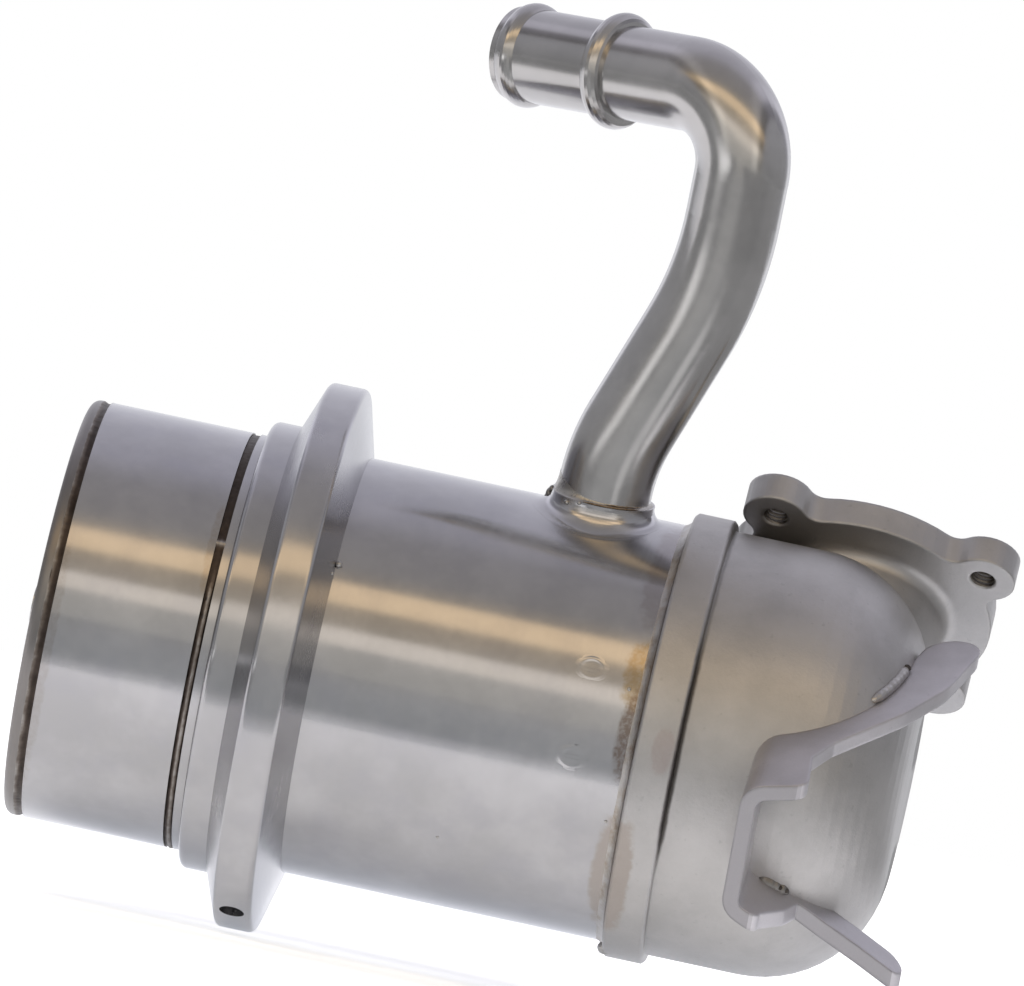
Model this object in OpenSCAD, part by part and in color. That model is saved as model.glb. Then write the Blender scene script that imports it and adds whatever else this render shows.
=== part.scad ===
// Exhaust gas recirculation cooler: a round tube bundle in a welded steel body.
// X runs along the body towards the end housing, Z is the side of the coolant pipe.
// The origin is on the axis, in the middle of the clamp flange's rim. Millimetres.

/* [Body] */
// Outside diameter of the shell and of the spigot sleeve
shell_d = 92; // [86:1:98]
// Wall of the shell and of the spigot sleeve
shell_wall = 2; // [1.5:0.1:2.5]
// Visible length of the shell, from the flange to the end housing
shell_length = 71.6; // [60:0.2:100]
// Length of the spigot sleeve
sleeve_length = 31.4; // [24:0.2:60]
// Width of the two sunk weld seams on the spigot
seam_width = 1.9; // [1:0.1:2.5]
// Depth of the two sunk weld seams below the sleeve
seam_depth = 0.7; // [0.3:0.1:1.2]

/* [Clamp flange] */
// Diameter of the flange's rim
rim_d = 120.6; // [112:0.2:130]
// Width of the rim
rim_width = 8; // [6.5:0.5:12]
// Slope of the spigot's flank and of the shell's flank, from a plane across the axis
flank_angle = [21, 15]; // [12:1:25]
// Radius on the rim's two edges
rim_edge_r = 1.4; // [0.6:0.1:2]
// Height of the step beside the flange above the sleeve
step_rise = 3.5; // [2.6:0.1:6]
// Length of the step
step_length = 6.4; // [5:0.2:12]
// Radius on the step's outer edge
step_edge_r = 1.6; // [0.8:0.1:2]
// Length of the lip that the sleeve is welded to
lip_length = 2; // [1.5:0.1:4]
// Diameter of the locating hole in the rim
rim_hole_d = 5.5; // [4:0.1:6]
// Depth of the locating hole
rim_hole_depth = 7; // [4:0.5:10]
// Place of the locating hole round the rim, from the bottom towards the front
rim_hole_angle = 21.3; // [0:0.1:45]

/* [Tube bundle] */
// Outside diameter of a gas tube
tube_d = 8; // [6:0.1:9]
// Wall of a gas tube
tube_wall = 0.5; // [0.3:0.1:1]
// Distance between neighbouring tubes
tube_pitch = 12; // [10.5:0.1:12.4]
// How far the tube ends stand out of the header plates
tube_stand_out = 0.6; // [0.2:0.1:2]
// Thickness of the front header plate's rim
front_rim_width = 2.4; // [2:0.1:4]
// Radius on the front header plate's edge
front_edge_r = 1.9; // [0.8:0.1:2]
// Depth of the front header plate inside the sleeve
front_boss = 4.6; // [3:0.2:8]
// Thickness of the rear header plate
rear_plate = 4; // [3:0.2:8]
// Distance of the rear header plate from the shell's end
rear_back = 1.5; // [0.8:0.1:4]
// Thickness of the baffle plates
baffle_t = 1.5; // [1:0.1:3]
// Height of the segment cut off each baffle plate
baffle_cut = 22; // [14:1:30]

/* [Coolant pipe] */
// Outside diameter of the coolant pipe
pipe_d = 20.6; // [18:0.2:22]
// Wall of the coolant pipe
pipe_wall = 1.5; // [1:0.1:2.5]
// Distance of the pipe's foot from the shell's flange end
pipe_place = 51.5; // [30:0.5:52]
// Turn of the pipe's foot round the body, from the top towards the front
pipe_turn = 12; // [0:1:20]
// How far the pipe stands into the shell
pipe_root = 1.5; // [0.5:0.1:3]
// Straight length of the pipe above the neck
foot_length = 1.4; // [0.6:0.1:6]
// Height of the pulled neck above the shell
neck_height = 3.4; // [2.6:0.2:5]
// Wall of the pulled neck at its top
neck_wall = 1; // [0.8:0.1:1.5]
// Radius of the flare at the neck's foot
neck_flare_r = 6; // [5:0.5:8]
// Leg of the braze fillet on the neck
braze_leg = 0.6; // [0.4:0.1:0.8]
// Lean of the pipe's middle stretch towards the end housing
pipe_lean = 20; // [0:0.5:25]
// Bend radius at the foot
foot_bend_r = 45; // [30:1:70]
// Length of the leaning stretch
lean_length = 24; // [10:0.5:40]
// Bend radius back to upright
upper_bend_r = 78; // [40:1:100]
// Length of the upright stretch
upright_length = 9.2; // [2:0.2:30]
// Bend radius into the hose nipple
top_bend_r = 16; // [13:0.5:30]
// Angle of that bend
top_bend_angle = 97.5; // [80:0.5:105]
// Turn of the nipple away from the front
nipple_turn = 33; // [0:1:60]
// Length from the bend to the stop bead
nipple_root = 19.5; // [12:0.5:40]
// Length from the stop bead to the end
nipple_length = 28; // [20:0.5:40]
// Diameter of the stop bead
stop_bead_d = 25.6; // [24:0.2:30]
// Diameter of the bead at the nipple's end
end_bead_d = 23; // [22.4:0.1:25]
// Width of both beads
bead_width = 5; // [3:0.1:6]
// Distance of the end bead from the nipple's end
bead_back = 1; // [0.4:0.1:3]
// How much thicker the pipe is in its bends
bend_swell = 0.02; // [0.02:0.01:0.1]

/* [End housing] */
// Height of the collar above the shell
collar_rise = 3.1; // [2.6:0.1:6]
// Length of the collar
collar_length = 9.2; // [7:0.2:14]
// Width of the collar's chamfers
collar_chamfer = 0.6; // [0.3:0.1:1]
// Width of the groove where the collar ends on the cap
collar_groove = 0.8; // [0.4:0.1:1.2]
// Gap between the shell's end and the collar's shoulder
socket_gap = 0.6; // [0.2:0.1:1]
// Height of the cap above the shell
cap_rise = 0.9; // [0.2:0.1:2]
// Length of the housing from the collar's face to the flat end
housing_length = 56.9; // [52:0.1:75]
// Radius between the cap's side and its flat end
knuckle_r = 27.5; // [22:0.5:30]
// Wall of the casting
cap_wall = 4; // [3:0.2:5]
// Distance of the outlet's axis from the flat end
outlet_back = 20.5; // [20:0.1:26]
// Turn of the outlet round the body, from the top towards the back
outlet_turn = 35; // [0:1:60]
// Diameter of the outlet's machined mouth
outlet_d = 32; // [30:0.5:34]
// Depth of the machined mouth
outlet_depth = 7.6; // [4:0.2:7.6]
// Diameter of the cast passage behind the mouth
passage_d = 30; // [26:0.5:30]
// Outside diameter of the outlet neck
neck_d = 40; // [38:0.5:41]
// Fillet between the neck and the flange
neck_fillet = 3; // [1:0.2:4]
// Height of the flange's back face above the axis
outlet_height = 44.4; // [43.6:0.2:60]
// Thickness of the flange
flange_t = 6.5; // [5:0.1:10]
// Diameter of the flange's round middle
flange_d = 60.4; // [58:0.2:64]
// Distance between neighbouring flange screws
screw_pitch = 47; // [45:0.5:50]
// Turn of the flange round its own axis
flange_turn = 8.4; // [0:0.1:15]
// Radius of the four ears
ear_r = 7.2; // [6:0.1:8]
// Fillet between the ears and the round middle
ear_fillet = 3.5; // [2:0.1:5]
// Diameter of the screw holes
screw_hole_d = 5.2; // [4.2:0.1:6.6]
// Width of the chamfer on the screw holes
screw_chamfer = 0.5; // [0.2:0.1:0.8]

/* [Bracket] */
// Thickness of the bracket's sheet
bracket_t = 3.5; // [2.5:0.1:4]
// Turn of the bracket round the body, from the front downwards
bracket_turn = 27; // [10:1:40]
// Distance of the web from the knuckle, on the collar's side
web_back = 4; // [2:0.2:8]
// Distance between the outer faces of the two arms at the web
bracket_height = 31.6; // [28:0.2:40]
// Height of the upper arm's face above the axis at the web
bracket_top = 25.9; // [22:0.1:30]
// Rise of the upper arm
upper_rise = 14; // [5:1:20]
// Fall of the lower arm before and after its knee
lower_fall = [23.5, 33]; // [15:0.5:45]
// Distance of the knee from the web
knee_place = 16; // [12:1:22]
// Bend radius of the sheet at its middle
bracket_bend_r = 4.2; // [3:0.2:6]
// How far the web stands out from the cap
web_reach = 16.6; // [12:0.2:30]
// Length of the wide part of the upper and of the lower arm
wide_length = [13.6, 8.4]; // [8:0.2:16]
// How much longer both wide parts are where their edge turns to the strip
wide_slant = [-0.8, 4.7]; // [-1:0.1:6]
// Distance of that turn from the web's front edge
wide_depth = [13.8, 11.1]; // [8:0.1:14]
// Rounding of the wide parts' outer corners
wide_corner = 3; // [1:0.1:4]
// Half width of the upper arm's hook and of the lower arm's strip
arm_r = [6.2, 3.4]; // [3:0.1:9]
// Radius of both strips' bends at their middle line
strip_bend_r = 14; // [10:0.5:16]
// Places along X where the upper hook bends, from the knuckle
hook_x = [8, 20.7, 27.3, 31.3]; // [4:0.1:34]
// Places across where the upper hook bends, from the cap's side
hook_y = [8.4, 21.9, 32.4, 46.9]; // [2:0.1:50]
// Places along X where the lower strip bends, from the knuckle
strip_x = [10.5, 16, 25, 32.2]; // [4:0.1:34]
// Places across where the lower strip bends, from the cap's side
strip_y = [4.1, 5.4, 7.9, 9.4]; // [2:0.1:14]

/* [Welds] */
// Leg of the bead between the shell and the collar
collar_bead = 1.6; // [0.8:0.1:2.5]
// Radius of the bead on the bracket's upper arm
upper_bead_r = 1.4; // [1.2:0.1:2]
// Height of that bead's middle above the arm
upper_bead_lift = 0.6; // [0.4:0.1:1]
// Distance of that bead's start from the bracket's middle plane
upper_bead_from = 24; // [20:0.5:26]
// Number of spots in that bead
upper_beads = 16; // [4:1:18]
// Step from spot to spot as a share of the bead's radius
bead_step = 0.7; // [0.6:0.05:0.8]
// Radius of the bead inside the lower arm
lower_bead_r = 2.2; // [2.1:0.1:2.4]
// Height of that bead's middle above the arm
lower_bead_lift = 0.5; // [0.4:0.1:0.8]
// Length of that bead
lower_bead_length = 7; // [5:0.5:7.5]

/* [Hidden] */
$fn = 96;
fit = 0.05;
over = 1;
bend_lap = 0.3;
shell_r = shell_d / 2;
bore_r = shell_r - shell_wall;
rim_r = rim_d / 2;
step_r = shell_r + step_rise;
pipe_r = pipe_d / 2;
cap_r = shell_r + cap_rise;
collar_r = shell_r + collar_rise;

// Places along X, from the flange outwards
flange_right = rim_width / 2 + (rim_r - shell_r) * tan(flank_angle[1]);
step_right = -rim_width / 2 - (rim_r - step_r) * tan(flank_angle[0]);
step_left = step_right - step_length;
lip_left = step_left - lip_length;
sleeve_right = lip_left - seam_width;
sleeve_left = sleeve_right - sleeve_length;
front_right = sleeve_left - seam_width;
front_left = front_right - front_rim_width;
collar_left = flange_right + shell_length;
collar_right = collar_left + collar_length;
socket_end = collar_right - socket_gap;
cap_end = collar_left + housing_length;
knuckle_x = cap_end - knuckle_r;
flat_r = cap_r - knuckle_r;
outlet_x = cap_end - outlet_back;
rear_right = socket_end - rear_back;
rear_left = rear_right - rear_plate;
pipe_x = flange_right + pipe_place;

// Tube centres of a hexagon with three rings
rings = 3;
tube_places = [
    for (row = [-rings : rings])
        for (i = [0 : 2 * rings - abs(row)])
            [tube_pitch * (i - rings + abs(row) / 2), tube_pitch * row * sqrt(3) / 2]
];

// Bracket places in its own turned frame
web_x = knuckle_x - web_back;
web_mid_x = web_x + bracket_t / 2;
top_mid = bracket_top - bracket_t / 2;
low_mid = bracket_top - bracket_height + bracket_t / 2;
mid_z = (top_mid + low_mid) / 2;
web_front = cap_r + web_reach;
knee_x = web_x + knee_place;

// Points of an arc round [x, y]
function arc(x, y, r, from, to, n = 8) =
    [for (i = [0 : n]) let (a = from + (to - from) * i / n) [x + r * cos(a), y + r * sin(a)]];

function unit(v) = v / norm(v);
function across(v) = [-v[1], v[0]];

// Arc that rounds the corner b of the path a, b, c
function round_corner(a, b, c, r, n = 6) =
    let (u = unit(a - b), v = unit(c - b))
    let (half = acos(u * v) / 2)
    let (middle = b + unit(u + v) * r / sin(half))
    let (p = b + u * r / tan(half) - middle, q = b + v * r / tan(half) - middle)
    let (from = atan2(p[1], p[0]), turn = atan2(p[0] * q[1] - p[1] * q[0], p * q))
    [for (i = [0 : n]) middle + r * [cos(from + turn * i / n), sin(from + turn * i / n)]];

// Path moved sideways by d, with mitred corners
function beside(path, d) = [
    for (i = [0 : len(path) - 1])
        let (u = unit(path[max(i, 1)] - path[max(i, 1) - 1]))
        let (last = min(i, len(path) - 2), v = unit(path[last + 1] - path[last]))
        let (m = unit(across(u) + across(v)))
        path[i] + m * d / (m * across(u))
];

function reversed(list) = [for (i = [len(list) - 1 : -1 : 0]) list[i]];

// Outside radius of the cap at x
function cap_at(x) =
    x < knuckle_x ? cap_r : flat_r + sqrt(max(0, pow(knuckle_r, 2) - pow(x - knuckle_x, 2)));

// Turned solid round X from [radius, x] points
module turned(points) {
    rotate([0, 90, 0])
        rotate_extrude()
            polygon(points);
}

// Ring round X
module ring(outer, inner, from, to) {
    turned([[inner, from], [outer, from], [outer, to], [inner, to]]);
}

// Everything that stands square to X, drawn flat and turned into place at x
module across_x(x, t) {
    translate([x, 0, 0])
        rotate([90, 0, 90])
            linear_extrude(t)
                children();
}

module tube_holes(r) {
    for (p = tube_places)
        translate(p)
            circle(r);
}

module front_header_plate() {
    edge = arc(shell_r - front_edge_r, front_left + front_edge_r, front_edge_r, -90, 0);
    boss_right = front_right + front_boss;
    color("gray")
        difference() {
            turned(concat(
                [[0, front_left]], edge,
                [[shell_r, front_right], [bore_r - fit, front_right],
                 [bore_r - fit, boss_right], [0, boss_right]]));
            across_x(front_left - over, front_rim_width + front_boss + 2 * over)
                tube_holes(tube_d / 2 + fit);
        }
}

module front_seam_weld() {
    color("saddlebrown")
        ring(shell_r - seam_depth, bore_r, front_right, sleeve_left);
}

module spigot_sleeve() {
    color("silver")
        ring(shell_r, bore_r, sleeve_left, sleeve_right);
}

module flange_seam_weld() {
    color("saddlebrown")
        ring(shell_r - seam_depth, bore_r, sleeve_right, lip_left);
}

// Lip, step and V-shaped rim are turned from one piece
module mounting_flange() {
    half = rim_width / 2;
    turn = [90 - flank_angle[0], 90 - flank_angle[1]];
    edge_in = rim_edge_r * [tan(turn[0] / 2), tan(turn[1] / 2)];
    left_edge = arc(rim_r - rim_edge_r, edge_in[0] - half, rim_edge_r, -turn[0], 0);
    right_edge = arc(rim_r - rim_edge_r, half - edge_in[1], rim_edge_r, 0, turn[1]);
    step_edge = arc(step_r - step_edge_r, step_left + step_edge_r, step_edge_r, -90, 0);
    color("silver")
        difference() {
            turned(concat(
                [[bore_r, lip_left], [shell_r, lip_left], [shell_r, step_left]],
                step_edge, [[step_r, step_right]], left_edge, right_edge,
                [[shell_r, flange_right], [bore_r, flange_right]]));
            rotate([180 - rim_hole_angle, 0, 0])
                translate([0, 0, rim_r - rim_hole_depth])
                    cylinder(d = rim_hole_d, h = rim_hole_depth + over, $fn = 48);
        }
}

// Frame at the pipe's foot, with Z out of the shell
module pipe_frame() {
    translate([pipe_x, 0, 0])
        rotate([pipe_turn, 0, 0])
            children();
}

// Shell with the neck pulled out of its wall for the coolant pipe
module outer_shell() {
    neck_top_r = pipe_r + fit + neck_wall;
    neck_top = shell_r + neck_height;
    flare_end = asin(neck_height / neck_flare_r);
    flare_r = neck_top_r + neck_flare_r * (1 - cos(flare_end));
    color("silver")
        difference() {
            union() {
                ring(shell_r, bore_r, flange_right, socket_end);
                pipe_frame()
                    rotate_extrude()
                        polygon(concat(
                            [[0, bore_r - over], [flare_r + (shell_r - bore_r + over) * tan(flare_end), bore_r - over]],
                            reversed(arc(neck_top_r + neck_flare_r, neck_top, neck_flare_r, 180, 180 + flare_end)),
                            [[0, neck_top]]));
            }
            ring(bore_r, 0, flange_right, socket_end);
            pipe_frame()
                cylinder(r = pipe_r + fit, h = neck_top + over);
        }
}

module rear_header_plate() {
    color("gray")
        across_x(rear_left, rear_plate)
            difference() {
                circle(bore_r - fit);
                tube_holes(tube_d / 2 + fit);
            }
}

module gas_tubes() {
    from = front_left - tube_stand_out;
    color("lightgray")
        across_x(from, rear_right + tube_stand_out - from)
            difference() {
                tube_holes(tube_d / 2);
                tube_holes(tube_d / 2 - tube_wall);
            }
}

// Baffle plate at a share of the bundle's length, its cut side turned by side
module baffle(share, side) {
    x = front_right + front_boss + share * (rear_left - front_right - front_boss);
    color("dimgray")
        across_x(x - baffle_t / 2, baffle_t)
            rotate(side)
                difference() {
                    circle(bore_r - fit);
                    translate([-shell_r, bore_r - baffle_cut])
                        square([shell_d, baffle_cut + over]);
                    rotate(-side)
                        tube_holes(tube_d / 2 + fit);
                }
}

module baffle_front() { baffle(1 / 4, 0); }
module baffle_middle() { baffle(1 / 2, 180); }
module baffle_rear() { baffle(3 / 4, 0); }

// Bend of a round bar from Z towards -X, turned by toward, with the rest at its end
module bend(bend_r, angle, toward, r) {
    rotate([0, 0, toward]) {
        translate([-bend_r, 0, 0])
            rotate([90, 0, 0])
                rotate_extrude(angle = angle)
                    translate([bend_r, 0])
                        circle(r, $fn = 64);
        translate([-bend_r * (1 - cos(angle)), 0, bend_r * sin(angle)])
            rotate([0, -angle, 0])
                rotate([0, 0, -toward])
                    children();
    }
}

// Straight bar that laps a little into the bends at its ends
module straight(length, r) {
    translate([0, 0, -bend_lap])
        cylinder(r = r - bend_swell, h = length + 2 * bend_lap, $fn = 64);
    translate([0, 0, length])
        children();
}

// Round bead on the nipple
module bead(d) {
    rise = d / 2 - pipe_r;
    half = bead_width / 2;
    crown_r = (pow(half, 2) + pow(rise, 2)) / (2 * rise);
    spread = asin(half / crown_r);
    rotate_extrude()
        polygon(concat(
            [[0, half], [0, -half]],
            arc(d / 2 - crown_r, 0, crown_r, -spread, spread, 10)));
}

// Stop bead and end bead, counted back from the nipple's end
module nipple_beads() {
    translate([0, 0, -nipple_length])
        bead(stop_bead_d);
    translate([0, 0, -bead_width / 2 - bead_back])
        bead(end_bead_d);
}

// The pipe's run as a bar of radius r, longer by extra at both ends
module pipe_run(r, extra) {
    start = bore_r - pipe_root;
    pipe_frame()
        translate([0, 0, start - extra])
            straight(shell_r + neck_height + foot_length - start + extra, r)
                bend(foot_bend_r, pipe_lean, 180, r)
                    straight(lean_length, r)
                        bend(upper_bend_r, pipe_lean, 0, r)
                            straight(upright_length, r)
                                bend(top_bend_r, top_bend_angle, -nipple_turn, r)
                                    straight(nipple_root + nipple_length + extra, r)
                                        children();
}

module coolant_pipe() {
    color("silver")
        difference() {
            pipe_run(pipe_r, 0)
                nipple_beads();
            pipe_run(pipe_r - pipe_wall, over);
        }
}

module pipe_braze() {
    top = shell_r + neck_height;
    color("peru")
        pipe_frame()
            rotate_extrude()
                polygon([
                    [pipe_r + fit, top], [pipe_r + fit + braze_leg, top], [pipe_r + fit, top + braze_leg]]);
}

module collar_weld() {
    crown = collar_bead * 0.55;
    color("tan")
        turned([
            [shell_r, collar_left], [shell_r, collar_left - collar_bead],
            [shell_r + crown, collar_left - crown], [shell_r + collar_bead, collar_left]]);
}

// Outside of the casting, without the outlet
function cap_profile(r, end, knuckle) =
    concat(arc(r - knuckle, end - knuckle, knuckle, 0, 90, 14), [[0, end]]);

module cap_outside() {
    turned(concat(
        [[0, collar_left], [collar_r - collar_chamfer, collar_left], [collar_r, collar_left + collar_chamfer],
         [collar_r, collar_right - collar_groove], [collar_r - collar_chamfer, collar_right - collar_groove / 4],
         [cap_r, collar_right]],
        cap_profile(cap_r, cap_end, knuckle_r)));
}

module cap_inside() {
    turned(concat(
        [[0, collar_left - over], [shell_r + fit, collar_left - over], [shell_r + fit, socket_end],
         [cap_r - cap_wall, socket_end]],
        cap_profile(cap_r - cap_wall, cap_end - cap_wall, knuckle_r - cap_wall)));
}

// Frame of the outlet, with Z along its axis
module outlet_frame() {
    translate([outlet_x, 0, 0])
        rotate([-outlet_turn, 0, 0])
            children();
}

module screw_places() {
    for (i = [0 : 3])
        rotate(90 * i + flange_turn)
            translate([screw_pitch / 2, screw_pitch / 2])
                children();
}

// One ear of the flange along X with its two fillets, and the round middle up to the next ear
function flange_quarter() =
    let (ear = screw_pitch / sqrt(2), a = flange_d / 2 + ear_fillet, b = ear_r + ear_fillet)
    let (angle = acos((a * a + ear * ear - b * b) / (2 * a * ear)))
    let (x = a * cos(angle), y = a * sin(angle), lean = atan2(y, ear - x))
    let (gap = (90 - 2 * angle) / 10)
    concat(
        arc(x, -y, ear_fillet, 180 - angle, lean, 6),
        arc(ear, 0, ear_r, lean - 180, 180 - lean, 18),
        arc(x, y, ear_fillet, -lean, angle - 180, 6),
        arc(0, 0, flange_d / 2, angle + gap, 90 - angle - gap));

module flange_outline() {
    polygon([
        for (i = [0 : 3], p = flange_quarter())
            let (e = 90 * i + 45 + flange_turn)
            [p[0] * cos(e) - p[1] * sin(e), p[0] * sin(e) + p[1] * cos(e)]]);
}

// Neck with a fillet into the flange's back face
module outlet_neck() {
    r = neck_d / 2;
    rotate_extrude()
        polygon(concat(
            [[0, 0], [r, 0]],
            arc(r + neck_fillet, outlet_height - neck_fillet, neck_fillet, 180, 90),
            [[r + neck_fillet, outlet_height + flange_t / 2], [0, outlet_height + flange_t / 2]]));
}

module end_housing() {
    top = outlet_height + flange_t;
    color("darkgray")
        difference() {
            union() {
                cap_outside();
                outlet_frame() {
                    outlet_neck();
                    translate([0, 0, outlet_height])
                        linear_extrude(flange_t)
                            flange_outline();
                }
            }
            cap_inside();
            outlet_frame() {
                cylinder(d = passage_d, h = top);
                translate([0, 0, top - outlet_depth])
                    cylinder(d = outlet_d, h = outlet_depth + over);
                screw_places() {
                    translate([0, 0, outlet_height - over])
                        cylinder(d = screw_hole_d, h = flange_t + 2 * over, $fn = 48);
                    for (end = [0, 1])
                        translate([0, 0, outlet_height + end * flange_t])
                            mirror([0, 0, end])
                                translate([0, 0, -over])
                                    cylinder(r1 = screw_hole_d / 2 + screw_chamfer + over,
                                        r2 = screw_hole_d / 2, h = screw_chamfer + over, $fn = 48);
                }
            }
        }
}

// Frame of the bracket, with Y square to the sheet's bends
module bracket_frame() {
    rotate([bracket_turn, 0, 0])
        children();
}

// Upper faces of the two arms
function upper_face(x) = bracket_top + (x - web_x) * tan(upper_rise);
function lower_face(x) =
    low_mid + bracket_t / 2 - (min(x, knee_x) - web_x) * tan(lower_fall[0])
    - max(0, x - knee_x) * tan(lower_fall[1]);

// Middle line of the bent sheet, from the upper tip to the lower one
function bracket_path() =
    let (far = cap_end + web_front)
    let (a = [far, upper_face(far) - bracket_t / 2], b = [web_mid_x, top_mid])
    let (c = [web_mid_x, low_mid], d = [knee_x, lower_face(knee_x) - bracket_t / 2])
    let (e = [far, lower_face(far) - bracket_t / 2])
    concat(
        [a], round_corner(a, b, c, bracket_bend_r), round_corner(b, c, d, bracket_bend_r),
        round_corner(c, d, e, 3 * bracket_bend_r), [e]);

module bracket_sheet() {
    path = bracket_path();
    translate([0, cap_r, 0])
        rotate([90, 0, 0])
            linear_extrude(cap_r + web_front + over)
                polygon(concat(beside(path, bracket_t / 2), reversed(beside(path, -bracket_t / 2))));
}

// Path with its inner corners rounded
function rounded(path, r) = concat(
    [path[0]],
    [for (i = [1 : len(path) - 2], p = round_corner(path[i - 1], path[i], path[i + 1], r, 4)) p],
    [path[len(path) - 1]]);

// All points of a path but the last
function but_last(path) = [for (i = [0 : len(path) - 2]) path[i]];

// Plan of one arm: wide beside the web, then a strip that hugs the cap and ends round
module arm_plan(i, bends) {
    path = rounded(bends, strip_bend_r);
    edge = web_x + wide_length[i];
    tip = path[len(path) - 1];
    way = tip - path[len(path) - 2];
    heading = atan2(way[1], way[0]);
    inner = beside(path, arm_r[i]);
    polygon(concat(
        [[web_x - over, inner[0][1]], [web_x - over, -web_front]],
        arc(edge - wide_corner, wide_corner - web_front, wide_corner, -90, 0, 5),
        [[edge + wide_slant[i], wide_depth[i] - web_front]],
        but_last(beside(path, -arm_r[i])),
        arc(tip[0], tip[1], arm_r[i], heading - 90, heading + 90, 12),
        reversed(but_last(inner))));
}

// Bends of one arm's strip in its own plan
function strip_path(x, y) = [for (k = [0 : len(x) - 1]) [knuckle_x + x[k], y[k] - cap_r]];

module bracket() {
    color("gainsboro")
        difference() {
            bracket_frame()
                intersection() {
                    bracket_sheet();
                    union() {
                        translate([0, 0, mid_z])
                            linear_extrude(shell_d)
                                arm_plan(0, strip_path(hook_x, hook_y));
                        translate([0, 0, mid_z - shell_d])
                            linear_extrude(shell_d)
                                arm_plan(1, strip_path(strip_x, strip_y));
                    }
                }
            cap_outside();
        }
}

// Place along X where the cap is as far out as a point at y, above the upper arm by rise
function seat_x(y, rise, from, to, steps = 16) =
    let (x = (from + to) / 2)
    steps == 0 ? x :
    pow(cap_at(x), 2) > pow(y, 2) + pow(upper_face(x) + rise, 2) ?
    seat_x(y, rise, x, to, steps - 1) : seat_x(y, rise, from, x, steps - 1);

// Beads, kept outside the cap and the sheet
module bracket_bead() {
    color("lightgray")
        difference() {
            bracket_frame()
                children();
            cap_outside();
            bracket_frame()
                bracket_sheet();
        }
}

// Bead on the cap along the upper arm's hook
module bracket_upper_weld() {
    bracket_bead()
        for (i = [0 : upper_beads - 1]) {
            y = -upper_bead_from + i * upper_bead_r * bead_step;
            x = seat_x(y, upper_bead_lift, knuckle_x, cap_end);
            translate([x, y, upper_face(x) + upper_bead_lift])
                sphere(upper_bead_r, $fn = 48);
        }
}

// Bead in the corner between the lower arm and the cap
module bracket_lower_weld() {
    from = web_x + bracket_t + lower_bead_r;
    to = from + lower_bead_length;
    p = [from, -sqrt(pow(cap_at(from), 2) - pow(lower_face(from), 2)), lower_face(from) + lower_bead_lift];
    q = [to, -sqrt(pow(cap_at(to), 2) - pow(lower_face(to), 2)), lower_face(to) + lower_bead_lift];
    d = unit(q - p);
    bracket_bead()
        translate(p)
            rotate([0, acos(d[2]), atan2(d[1], d[0])])
                cylinder(r = lower_bead_r, h = norm(q - p), $fn = 64);
}

front_header_plate();
front_seam_weld();
spigot_sleeve();
flange_seam_weld();
mounting_flange();
outer_shell();
rear_header_plate();
gas_tubes();
baffle_front();
baffle_middle();
baffle_rear();
coolant_pipe();
pipe_braze();
collar_weld();
end_housing();
bracket();
bracket_upper_weld();
bracket_lower_weld();
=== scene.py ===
import math

import bmesh
import bpy
from mathutils import Matrix, Vector, noise


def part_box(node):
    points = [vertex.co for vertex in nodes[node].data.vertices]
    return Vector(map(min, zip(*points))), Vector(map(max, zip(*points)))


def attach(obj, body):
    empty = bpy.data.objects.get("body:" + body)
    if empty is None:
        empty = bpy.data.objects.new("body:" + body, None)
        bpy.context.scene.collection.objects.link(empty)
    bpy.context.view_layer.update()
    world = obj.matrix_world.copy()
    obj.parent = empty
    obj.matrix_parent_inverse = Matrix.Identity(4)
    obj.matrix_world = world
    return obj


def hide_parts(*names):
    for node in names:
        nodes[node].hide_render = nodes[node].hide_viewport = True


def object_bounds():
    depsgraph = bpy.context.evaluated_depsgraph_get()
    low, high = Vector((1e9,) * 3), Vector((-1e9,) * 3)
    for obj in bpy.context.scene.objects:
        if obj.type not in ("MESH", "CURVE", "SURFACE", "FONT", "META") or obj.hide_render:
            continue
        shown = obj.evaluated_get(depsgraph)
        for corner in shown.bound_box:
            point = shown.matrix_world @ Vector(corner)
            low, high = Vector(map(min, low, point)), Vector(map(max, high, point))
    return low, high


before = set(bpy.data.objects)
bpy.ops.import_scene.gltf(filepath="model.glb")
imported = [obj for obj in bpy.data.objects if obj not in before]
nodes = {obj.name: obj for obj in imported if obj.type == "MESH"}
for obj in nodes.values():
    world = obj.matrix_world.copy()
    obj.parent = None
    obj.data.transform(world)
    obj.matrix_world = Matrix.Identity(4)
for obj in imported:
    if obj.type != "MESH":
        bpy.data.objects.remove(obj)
cad_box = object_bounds()
MM = 0.001


def span(name):
    low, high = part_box(name)
    return low.x / MM, high.x / MM


# Places along X and radii of the CAD solids, in millimetres
SHELL_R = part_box("spigot_sleeve")[1].z / MM
SLEEVE_LEFT, SLEEVE_RIGHT = span("spigot_sleeve")
FRONT_LEFT = span("front_header_plate")[0]
FLANGE_RIGHT, SHELL_RIGHT = span("outer_shell")
COLLAR_LEFT = span("collar_weld")[1]
COLLAR_PAST_SHELL = 0.6
COLLAR_RIGHT = SHELL_RIGHT + COLLAR_PAST_SHELL
HOUSING_LENGTH = 56.9
CAP_END = COLLAR_LEFT + HOUSING_LENGTH
KNUCKLE_R = 27.5
KNUCKLE_X = CAP_END - KNUCKLE_R
CAP_OVER_SHELL = 0.9
CAP_R = SHELL_R + CAP_OVER_SHELL
PIPE_FROM_FLANGE = 51.5
PIPE_X = FLANGE_RIGHT + PIPE_FROM_FLANGE
OUTLET_FROM_END = 20.5
OUTLET_X = CAP_END - OUTLET_FROM_END
BRACKET_TURN = math.radians(27.0)


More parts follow.
